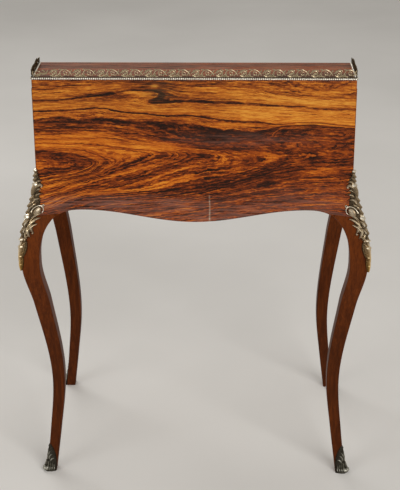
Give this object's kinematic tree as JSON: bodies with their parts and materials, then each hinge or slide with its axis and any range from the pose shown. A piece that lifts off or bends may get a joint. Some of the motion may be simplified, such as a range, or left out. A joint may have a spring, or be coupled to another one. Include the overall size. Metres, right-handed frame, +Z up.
{
  "type": "writing bureau",
  "caption": "Slant-front writing desk on cabriole legs, with a fall on lopers, fitted drawers and pigeonholes, brass corner mounts and a pierced gallery round its shelf.",
  "frame": {"origin": "on the floor, under the middle of the desk", "axes": "+Z up; the front with the fall faces -Y, and +X is to the right of someone sitting at it"},
  "size_m": [0.7622, 0.4932, 0.9579],
  "materials": {
    "rosewood_veneer": "french-polished rosewood veneer",
    "rosewood_solid": "polished solid rosewood",
    "satinwood_interior": "waxed satinwood",
    "oak_carcase": "bare oak",
    "cast_brass": "aged gilt brass",
    "lock_steel": "filed steel",
    "writing_leather": "tooled hide"
  },
  "bodies": {
    "case": {"back_panel": "rosewood_veneer", "front_rail": "rosewood_veneer", "side_panel_left": "rosewood_veneer", "side_panel_right": "rosewood_veneer", "top_board": "rosewood_veneer", "leg_front_left": "rosewood_solid", "leg_front_right": "rosewood_solid", "leg_back_left": "rosewood_solid", "leg_back_right": "rosewood_solid", "corner_mount_front_left": "cast_brass", "corner_mount_front_right": "cast_brass", "corner_mount_back_left": "cast_brass", "corner_mount_back_right": "cast_brass", "foot_shoe_front_left": "cast_brass", "foot_shoe_front_right": "cast_brass", "foot_shoe_back_left": "cast_brass", "foot_shoe_back_right": "cast_brass", "gallery_back": "cast_brass", "gallery_left": "cast_brass", "gallery_right": "cast_brass", "gallery_moulding": "cast_brass", "strike_plate": "cast_brass", "hinge_case_leaf_left": "cast_brass", "hinge_case_leaf_right": "cast_brass", "hinge_pin_left": "cast_brass", "hinge_pin_right": "cast_brass", "writing_bed": "satinwood_interior", "pigeonhole_shelf": "satinwood_interior", "drawer_divider_left": "satinwood_interior", "drawer_divider_right": "satinwood_interior", "pigeonhole_divider_left": "satinwood_interior", "pigeonhole_divider_right": "satinwood_interior", "dust_board": "oak_carcase", "loper_guide_left": "oak_carcase", "loper_guide_right": "oak_carcase"},
    "fall": {"fall_board": "rosewood_veneer", "writing_leather": "writing_leather", "lock_case": "lock_steel", "escutcheon": "cast_brass", "hinge_fall_leaf_left": "cast_brass", "hinge_fall_leaf_right": "cast_brass"},
    "bolt": {"lock_bolt": "lock_steel"},
    "loper_left": {"loper_left": "oak_carcase", "loper_knob_left": "cast_brass"},
    "loper_right": {"loper_right": "oak_carcase", "loper_knob_right": "cast_brass"},
    "drawer_left": {"drawer_front_left": "satinwood_interior", "drawer_tray_left": "oak_carcase", "drawer_knob_left": "cast_brass"},
    "drawer_middle": {"drawer_front_middle": "satinwood_interior", "drawer_tray_middle": "oak_carcase", "drawer_knob_middle": "cast_brass"},
    "drawer_right": {"drawer_front_right": "satinwood_interior", "drawer_tray_right": "oak_carcase", "drawer_knob_right": "cast_brass"}
  },
  "joints": [
    {"name": "fall_hinge", "type": "hinge", "parent": "case", "child": "fall", "pos_m": [0, -0.201, 0.74], "axis": [1, 0, 0], "range_deg": [0, 146.6]},
    {"name": "bolt_slide", "type": "slide", "parent": "fall", "child": "bolt", "axis": [0, 0.8353, 0.5498], "range_m": [0, 0.007]},
    {"name": "loper_left_slide", "type": "slide", "parent": "case", "child": "loper_left", "axis": [0, -1, 0], "range_m": [0, 0.2]},
    {"name": "loper_right_slide", "type": "slide", "parent": "case", "child": "loper_right", "axis": [0, -1, 0], "range_m": [0, 0.2]},
    {"name": "drawer_left_slide", "type": "slide", "parent": "case", "child": "drawer_left", "axis": [0, -1, 0], "range_m": [0, 0.12]},
    {"name": "drawer_middle_slide", "type": "slide", "parent": "case", "child": "drawer_middle", "axis": [0, -1, 0], "range_m": [0, 0.12]},
    {"name": "drawer_right_slide", "type": "slide", "parent": "case", "child": "drawer_right", "axis": [0, -1, 0], "range_m": [0, 0.12]}
  ]
}
